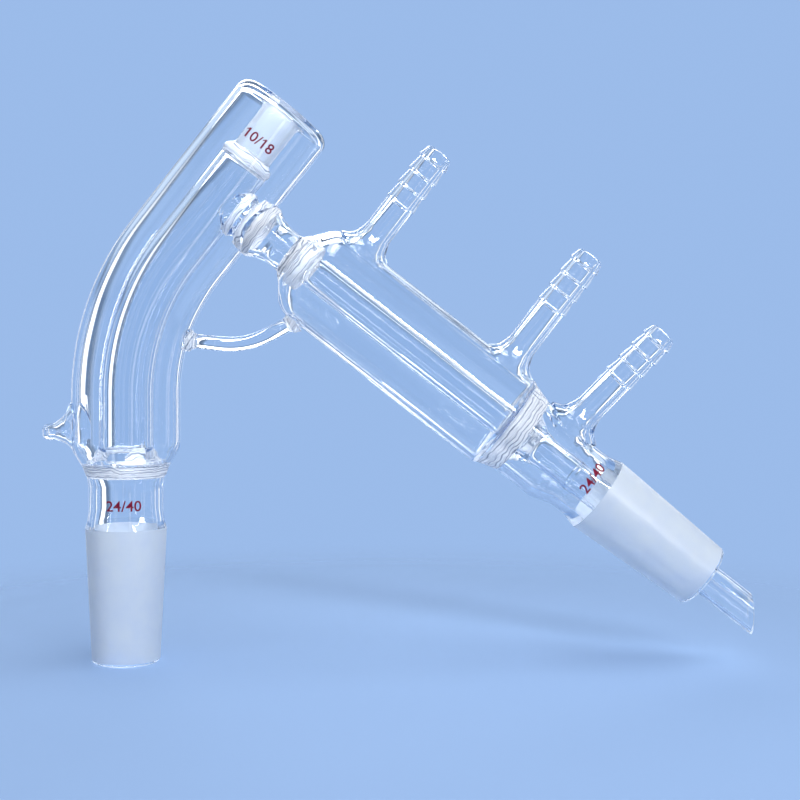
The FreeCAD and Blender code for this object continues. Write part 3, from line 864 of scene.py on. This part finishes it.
def studio_world():
    """Pale to the eye; glass also sees dark gaps between the studio's bright panels."""
    world = bpy.data.worlds.new("studio")
    bpy.context.scene.world = world
    world.use_nodes = True
    tree = world.node_tree
    tree.nodes.clear()

    def step(value, low, high, at_low, at_high):
        return wired(tree, "ShaderNodeMapRange", {
            "Value": value, "From Min": low, "From Max": high, "To Min": at_low, "To Max": at_high,
        }, interpolation_type="SMOOTHSTEP").outputs["Result"]

    way = wired(tree, "ShaderNodeTexCoord").outputs["Generated"]
    x, y, z = wired(tree, "ShaderNodeSeparateXYZ", {0: way}).outputs
    # Eight panels stand round the object, with a dark gap and a bright strip between two of them
    bearing = calculated(tree, "ARCTAN2", y, x)
    wave = calculated(tree, "COSINE", calculated(tree, "MULTIPLY", bearing, 8.0))
    panels = shaded(tree, z, (
        (0.24, (*PALE, 1)), (0.28, (*DUSK, 1)), (0.32, (*DUSK, 1)), (0.36, (*PANEL, 1)),
        (0.60, (*PANEL, 1)), (0.68, (*DUSK, 1)), (1.0, (*PALE, 1))))
    gaps = wired(tree, "ShaderNodeVectorMath", {
        0: panels, "Scale": step(wave, -0.85, -0.6, 0.36, 1.0)}, operation="SCALE")
    narrow = step(wave, -0.97, -0.92, 1.0, 0.0)
    strips = wired(tree, "ShaderNodeMixRGB", {
        "Fac": calculated(tree, "MULTIPLY", narrow, step(z, 0.12, 0.42, 1.0, 0.0)),
        "Color1": gaps.outputs[0], "Color2": STRIP})
    shown = wired(tree, "ShaderNodeBackground", {"Color": (*PALE, 1)})
    studio = wired(tree, "ShaderNodeBackground", {"Color": strips.outputs["Color"]})
    soft = wired(tree, "ShaderNodeBackground", {"Strength": 0.38})
    path = wired(tree, "ShaderNodeLightPath").outputs
    bright = calculated(tree, "MAXIMUM", path["Is Glossy Ray"], path["Is Transmission Ray"])
    lit = wired(tree, "ShaderNodeMixShader", {0: bright, 1: soft.outputs[0], 2: studio.outputs[0]})
    seen = wired(tree, "ShaderNodeMixShader", {
        0: path["Is Camera Ray"], 1: lit.outputs[0], 2: shown.outputs[0]})
    wired(tree, "ShaderNodeOutputWorld", {"Surface": seen.outputs[0]})


studio_world()


def softbox(name, place, aim, size, power, along=(0, 0, 1)):
    """Area lamp that faces its aim; the second of its two sizes runs along the given direction."""
    lamp = bpy.data.lights.new(name, "AREA")
    lamp.shape = "RECTANGLE"
    lamp.size, lamp.size_y = size
    lamp.energy = power
    back = (Vector(place) - Vector(aim)).normalized()
    across = Vector(along).cross(back).normalized()
    turn = Matrix((across, back.cross(across), back)).transposed()
    made = bpy.data.objects.new(name, lamp)
    made.matrix_world = Matrix.Translation(place) @ turn.to_4x4()
    made.visible_camera = False
    bpy.context.scene.collection.objects.link(made)


softbox("left_strip", (-0.55, -0.55, 0.25), (0.05, 0, 0.09), (0.026, 0.5), 0.9)
softbox("slanted_strip", (0.42, -0.66, 0.42), (0.13, 0, 0.06), (0.06, 0.7), 5.0, ARM_AXIS)
softbox("low_strip_left", (-0.109, 0.72, -0.237), (0.1, 0, 0.08), (0.03, 0.28), 0.2, ARM_AXIS)
softbox("low_strip_right", (0.095, 0.72, -0.251), (0.13, 0, 0.06), (0.03, 0.46), 0.32, ARM_AXIS)
softbox("high_strip", (0.36, 0.72, 0.39), (0.13, 0, 0.1), (0.1, 0.6), 0.25, ARM_AXIS)
softbox("top_panel", (0.25, -0.1, 0.9), (0.08, 0, 0.05), (0.6, 0.3), 4.6, (1, 0, 0))
softbox("back_panel", (-0.1, 0.75, 0.6), (0.08, 0, 0.07), (0.4, 0.3), 2.0)

# Camera: level and close, as the ellipses of the joints and seals show it in the photograph
DISTANCE = 420 * MM
EYE_HEIGHT = 93 * MM
IMAGE_PIXELS, PIXELS_PER_MM = 800, 3.35
FRAME_WIDTH = IMAGE_PIXELS / PIXELS_PER_MM * MM
SENSOR = 36
FRAME_MIDDLE = Vector((81.7, 0, 77.9)) * MM
camera = bpy.data.objects.new("camera", bpy.data.cameras.new("camera"))
bpy.context.scene.collection.objects.link(camera)
camera.location = (FRAME_MIDDLE.x, -DISTANCE, EYE_HEIGHT)
camera.rotation_euler = (math.pi / 2, 0, 0)
camera.data.shift_y = (FRAME_MIDDLE.z - EYE_HEIGHT) / FRAME_WIDTH
camera.data.sensor_width = SENSOR
camera.data.lens = SENSOR * DISTANCE / FRAME_WIDTH
camera.data.clip_start, camera.data.clip_end = 0.1, 20
bpy.context.scene.camera = camera
bpy.context.scene.view_settings.view_transform = "Standard"
